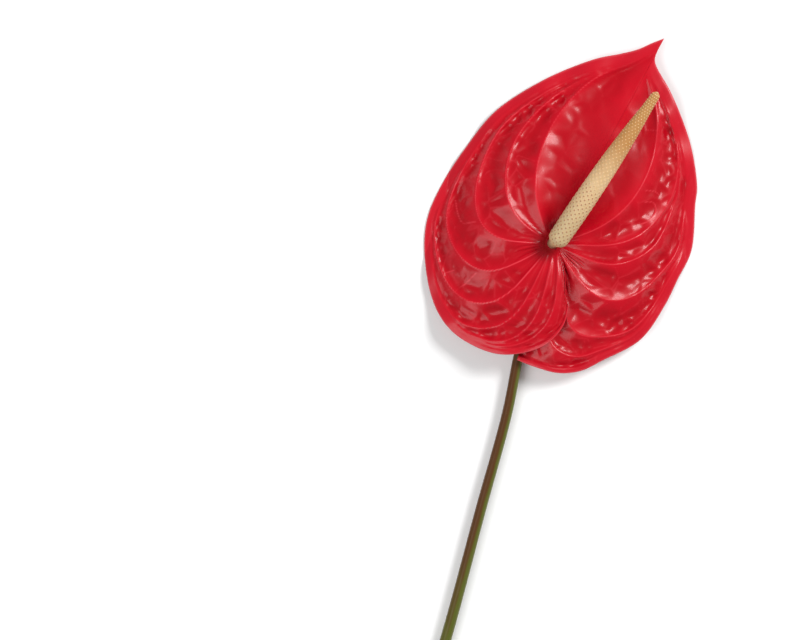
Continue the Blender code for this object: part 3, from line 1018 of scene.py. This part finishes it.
@dataclass
class Stipe:
    """The short smooth stalk that carries the spike on the spathe."""

    hub: Vector
    foot_height: float = 13.75
    head: tuple[float, float, float] = (2.4, 2.1, 21.0)
    radius: float = 2.5
    sides: int = 48

    def build(self, material: bpy.types.Material) -> bpy.types.Object:
        """Makes the stalk.

        Args:
            material: The spike's own finish.

        Returns:
            The finished piece.
        """
        stalk = bmesh.new()
        bmesh.ops.create_cone(
            stalk, cap_ends=True, segments=self.sides, radius1=self.radius, radius2=self.radius, depth=1.0
        )
        layers = write_layers(stalk, ("along", "dot", "groove"))
        for vertex in stalk.verts:
            share = vertex.co.z + 0.5
            lean = Vector((self.head[0] * share, self.head[1] * share, 0.0))
            height = self.foot_height + (self.head[2] - self.foot_height) * share
            vertex.co = self.hub + (Vector((vertex.co.x, vertex.co.y, height)) + lean) * MM
            vertex[layers["dot"]] = 1.0
        piece = show(stalk, "spadix_stipe", material)
        hand_over(piece, "spadix")
        return piece


@dataclass
class Peduncle:
    """The leafless flower stalk, swelling a little where the spathe sits on it."""

    hub: Vector
    finish: StalkSkin = field(default_factory=StalkSkin)
    # Centreline from the cut end to the neck: plan, and height above the surface
    route: Table = (
        (-78.0, -276.0, 2.75), (-62.5, -226.0, 3.3), (-46.0, -171.0, 4.0), (-31.5, -117.0, 4.4),
        (-20.0, -75.0, 4.4), (-15.0, -50.0, 4.5), (-10.0, -30.0, 4.7), (-5.2, -13.0, 5.6), (-1.6, -4.2, 8.0),
        (0.0, 0.0, 12.25),
    )  # fmt: skip
    foot_radius: float = 2.7
    neck_radius: float = 2.1
    top_radius: float = 3.1
    swell_length: float = 9.0
    bend_length: float = 7.0
    sides: int = 40
    steps_per_span: int = 26
    # Roughly across the stalk, where its sides are counted from
    across: tuple[float, float, float] = (1.0, -0.3, 0.0)
    ridge_height: float = 0.03
    ridges: int = 9
    ridge_wander: float = 0.8
    ridge_wander_length: float = 23.0
    most_corners_of_a_side: int = 4
    # How far each ring of the cut face is pushed out in millimetres, and its width as a share of the radius
    cut_rings: Table = ((0.12, 0.05), (0.0, 0.175), (-0.1, 0.25))

    def build(self) -> bpy.types.Object:
        """Makes the stalk as a swept tube, closed at the neck and at the cut.

        Returns:
            The finished piece.
        """
        route = smooth_curve(self.route, self.steps_per_span)
        last = len(route) - 1
        length = along_line(route)
        stalk = bmesh.new()
        bmesh.ops.create_grid(stalk, x_segments=self.sides, y_segments=last, size=1.0)
        layers = write_layers(stalk, ("along", "light_facing_side", "cut"))
        for vertex in stalk.verts:
            turn = (vertex.co.x + 1.0) * math.pi
            station = round((vertex.co.y + 1.0) / 2.0 * last)
            from_neck = length[-1] - length[station]
            radius = self.neck_radius + (self.foot_radius - self.neck_radius) * from_neck / length[-1]
            swell = 1.0 - float(smoothstep(0.0, self.swell_length, from_neck))
            radius += (self.top_radius - radius) * swell
            wander = self.ridge_wander * math.sin(from_neck / self.ridge_wander_length)
            radius += self.ridge_height * math.cos(self.ridges * turn + wander)
            along = Vector(route[min(station + 1, last)] - route[max(station - 1, 0)]).normalized()
            upright = 1.0 - float(smoothstep(0.0, self.bend_length, from_neck))
            along = along.lerp(Vector((0.0, 0.0, 1.0)), upright)
            side = along.cross(Vector(self.across)).normalized()
            up = side.cross(along)
            spoke = side * math.cos(turn) + up * math.sin(turn)
            vertex.co = self.hub + (Vector(route[station]) + spoke * float(radius)) * MM
            vertex[layers["along"]] = float(length[station] / length[-1])
            # How far the skin faces +x, towards the key light; the stalk's finish paints that side lighter
            vertex[layers["light_facing_side"]] = spoke.x
        bmesh.ops.remove_doubles(stalk, verts=stalk.verts, dist=SAME_POINT)
        self.close_ends(stalk, layers["cut"])
        bmesh.ops.recalc_face_normals(stalk, faces=stalk.faces)
        piece = show(stalk, "peduncle_stalk", self.finish.material())
        hand_over(piece, "peduncle")
        return piece

    def close_ends(self, stalk: bmesh.types.BMesh, cut: object) -> None:
        """Fills both ends and dishes the cut one.

        Args:
            stalk: The open tube.
            cut: The layer that marks the cut face.
        """
        bmesh.ops.holes_fill(stalk, edges=stalk.edges, sides=0)
        ends = [face for face in stalk.faces if len(face.verts) > self.most_corners_of_a_side]
        foot = min(ends, key=lambda face: face.calc_center_median().y)
        for out, width in self.cut_rings:
            bmesh.ops.inset_region(stalk, faces=[foot], thickness=width * self.foot_radius * MM)
            push = foot.normal * out * MM
            for vertex in foot.verts:
                vertex.co += push
                vertex[cut] = 1.0


@dataclass(frozen=True)
class Softbox:
    """A soft rectangular light that faces the bloom: its place in metres from the hub, size and power."""

    name: str
    place: tuple[float, float, float]
    size: tuple[float, float]
    watts: float

    def hang(self, hub: Vector) -> None:
        """Puts the light in the scene.

        Args:
            hub: The hub of the bloom, which it faces.
        """
        light = bpy.data.lights.new(self.name, "AREA")
        light.shape = "RECTANGLE"
        light.size, light.size_y = self.size
        light.energy = self.watts
        lamp = bpy.data.objects.new(self.name, light)
        lamp.location = hub + Vector(self.place)
        lamp.rotation_euler = (-Vector(self.place)).to_track_quat("-Z", "Y").to_euler()
        bpy.context.scene.collection.objects.link(lamp)


@dataclass
class Studio:
    """The floor, the soft lights and the camera above. Lengths are in metres, or in mm where named so."""

    hub: Vector
    softboxes: tuple[Softbox, ...] = (
        Softbox("right softbox", (0.95, 0.7, 1.0), (0.6, 0.6), 23.0),
        Softbox("left softbox", (-0.9, -0.6, 1.2), (1.3, 1.3), 18.0),
    )
    glow: float = 0.26
    floor_size: float = 4.0
    pixel_mm: float = 0.44
    frame_pixels: tuple[int, int] = (800, 640)
    hub_pixel: tuple[float, float] = (553.0, 243.0)
    camera_height: float = 2.5
    subject_height: float = 0.014
    sensor_mm: float = 36.0
    sees_as_far_as: float = 10.0

    def floor(self) -> None:
        """Lays the pale floor."""
        ground = bmesh.new()
        bmesh.ops.create_grid(ground, x_segments=1, y_segments=1, size=self.floor_size)
        show(ground, "floor", PaleFloor().material())

    def lights(self) -> None:
        """Hangs the lights and sets the soft surrounding glow."""
        for softbox in self.softboxes:
            softbox.hang(self.hub)
        world = bpy.data.worlds.new("glow")
        world.use_nodes = True
        background = world.node_tree.nodes["Background"]
        background.inputs["Color"].default_value = (1.0, 1.0, 1.0, 1.0)
        background.inputs["Strength"].default_value = self.glow
        bpy.context.scene.world = world
        bpy.context.scene.view_settings.view_transform = "Standard"

    def camera(self) -> None:
        """Places the camera so that the hub and the scale fall where the photograph has them."""
        right = (self.frame_pixels[0] / 2 - self.hub_pixel[0]) * self.pixel_mm * MM
        up = (self.hub_pixel[1] - self.frame_pixels[1] / 2) * self.pixel_mm * MM
        data = bpy.data.cameras.new("from above")
        data.sensor_width = self.sensor_mm
        span = self.frame_pixels[0] * self.pixel_mm * MM
        data.lens = self.sensor_mm * (self.camera_height - self.subject_height) / span
        data.clip_end = self.sees_as_far_as
        camera = bpy.data.objects.new("from above", data)
        camera.location = (self.hub.x + right, self.hub.y + up, self.camera_height)
        bpy.context.scene.collection.objects.link(camera)
        bpy.context.scene.camera = camera


def main() -> None:
    """Builds the flower and the studio in order."""
    logging.basicConfig(level=logging.INFO, format="%(message)s")
    spathe = Spathe()
    studio = Studio(spathe.hub)
    studio.camera()
    studio.floor()
    studio.lights()
    spathe.build()
    spike = Spadix(spathe.hub).build()
    Stipe(spathe.hub).build(spike.data.materials[0])
    Peduncle(spathe.hub).build()


if __name__ == "__main__":
    main()
